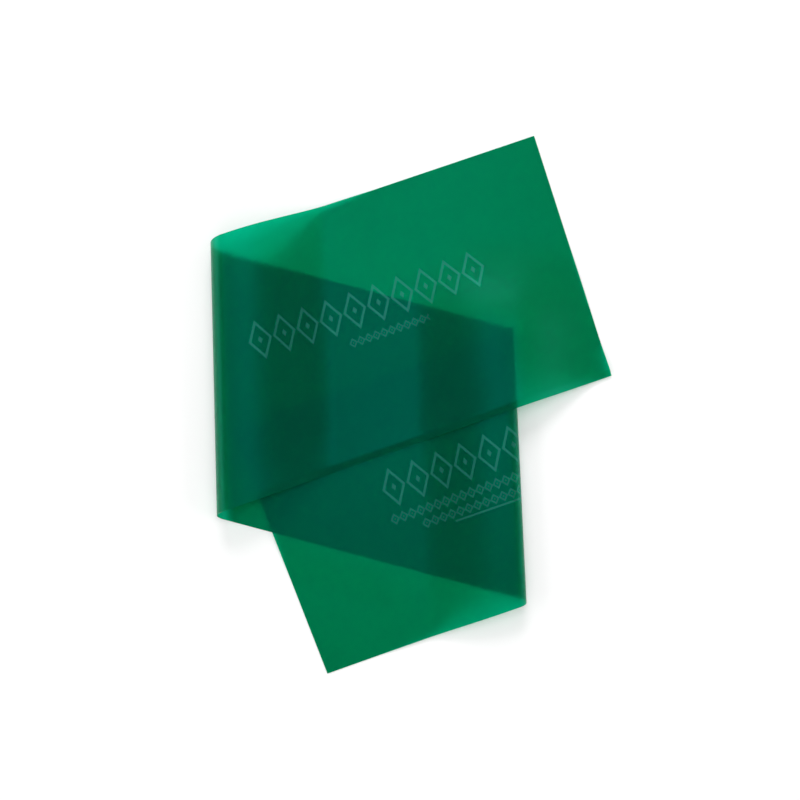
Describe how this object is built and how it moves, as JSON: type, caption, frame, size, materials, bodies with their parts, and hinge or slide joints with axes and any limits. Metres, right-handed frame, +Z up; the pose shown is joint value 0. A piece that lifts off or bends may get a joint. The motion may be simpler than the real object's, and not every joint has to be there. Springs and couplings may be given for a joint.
{
  "type": "resistance band",
  "caption": "Flat translucent green elastic exercise band, lying loosely folded in three with round turns at both folds.",
  "frame": {"origin": "middle of the folded band's footprint, on the table", "axes": "+Z up, square to the leaves; +Y along the footprint's longer side, about along the folds; +X towards the cover leaf's free end"},
  "size_m": [0.1975, 0.2658, 0.0141],
  "materials": {
    "band": "translucent satin elastomer"
  },
  "bodies": {
    "middle_leaf": {"middle_leaf": "band"},
    "left_turn_1": {"left_turn_1": "band"},
    "left_turn_2": {"left_turn_2": "band"},
    "left_turn_3": {"left_turn_3": "band"},
    "left_turn_4": {"left_turn_4": "band"},
    "left_turn_5": {"left_turn_5": "band"},
    "cover_leaf": {"cover_leaf": "band"},
    "right_turn": {"right_turn": "band"},
    "end_leaf": {"end_leaf": "band"}
  },
  "joints": [
    {"name": "left_fold_opens_1", "type": "hinge", "parent": "middle_leaf", "child": "left_turn_1", "pos_m": [-0.09089, 0.00629, 0.00038], "axis": [0.0384, -0.9993, 0], "range_deg": [0, 30]},
    {"name": "left_fold_opens_2", "type": "hinge", "parent": "left_turn_1", "child": "left_turn_2", "pos_m": [-0.09402, 0.00728, 0.00217], "axis": [0.0384, -0.9993, 0], "range_deg": [0, 30]},
    {"name": "left_fold_opens_3", "type": "hinge", "parent": "left_turn_2", "child": "left_turn_3", "pos_m": [-0.09585, 0.00831, 0.00526], "axis": [0.0384, -0.9993, 0], "range_deg": [0, 30]},
    {"name": "left_fold_opens_4", "type": "hinge", "parent": "left_turn_3", "child": "left_turn_4", "pos_m": [-0.09589, 0.00942, 0.00884], "axis": [0.0384, -0.9993, 0], "range_deg": [0, 30]},
    {"name": "left_fold_opens_5", "type": "hinge", "parent": "left_turn_4", "child": "left_turn_5", "pos_m": [-0.09415, 0.01059, 0.01193], "axis": [0.0384, -0.9993, 0], "range_deg": [0, 30]},
    {"name": "left_fold_opens_6", "type": "hinge", "parent": "left_turn_5", "child": "cover_leaf", "pos_m": [-0.0911, 0.01181, 0.01371], "axis": [0.0384, -0.9993, 0], "range_deg": [0, 30]},
    {"name": "right_fold_opens_1", "type": "hinge", "parent": "middle_leaf", "child": "right_turn", "pos_m": [0.05169, -0.03162, 0.00225], "axis": [-0.0384, 0.9993, 0], "range_deg": [0, 13.5]},
    {"name": "right_fold_opens_2", "type": "hinge", "parent": "right_turn", "child": "end_leaf", "pos_m": [0.05174, -0.03296, 0.00645], "axis": [-0.0384, 0.9993, 0], "range_deg": [0, 13.5]}
  ],
  "couplings": [
    {"joint": "left_fold_opens_1", "follows": "left_fold_opens_6", "ratio": 1},
    {"joint": "left_fold_opens_2", "follows": "left_fold_opens_6", "ratio": 1},
    {"joint": "left_fold_opens_3", "follows": "left_fold_opens_6", "ratio": 1},
    {"joint": "left_fold_opens_4", "follows": "left_fold_opens_6", "ratio": 1},
    {"joint": "left_fold_opens_5", "follows": "left_fold_opens_6", "ratio": 1},
    {"joint": "right_fold_opens_1", "follows": "left_fold_opens_6", "ratio": 0.45},
    {"joint": "right_fold_opens_2", "follows": "left_fold_opens_6", "ratio": 0.45}
  ]
}
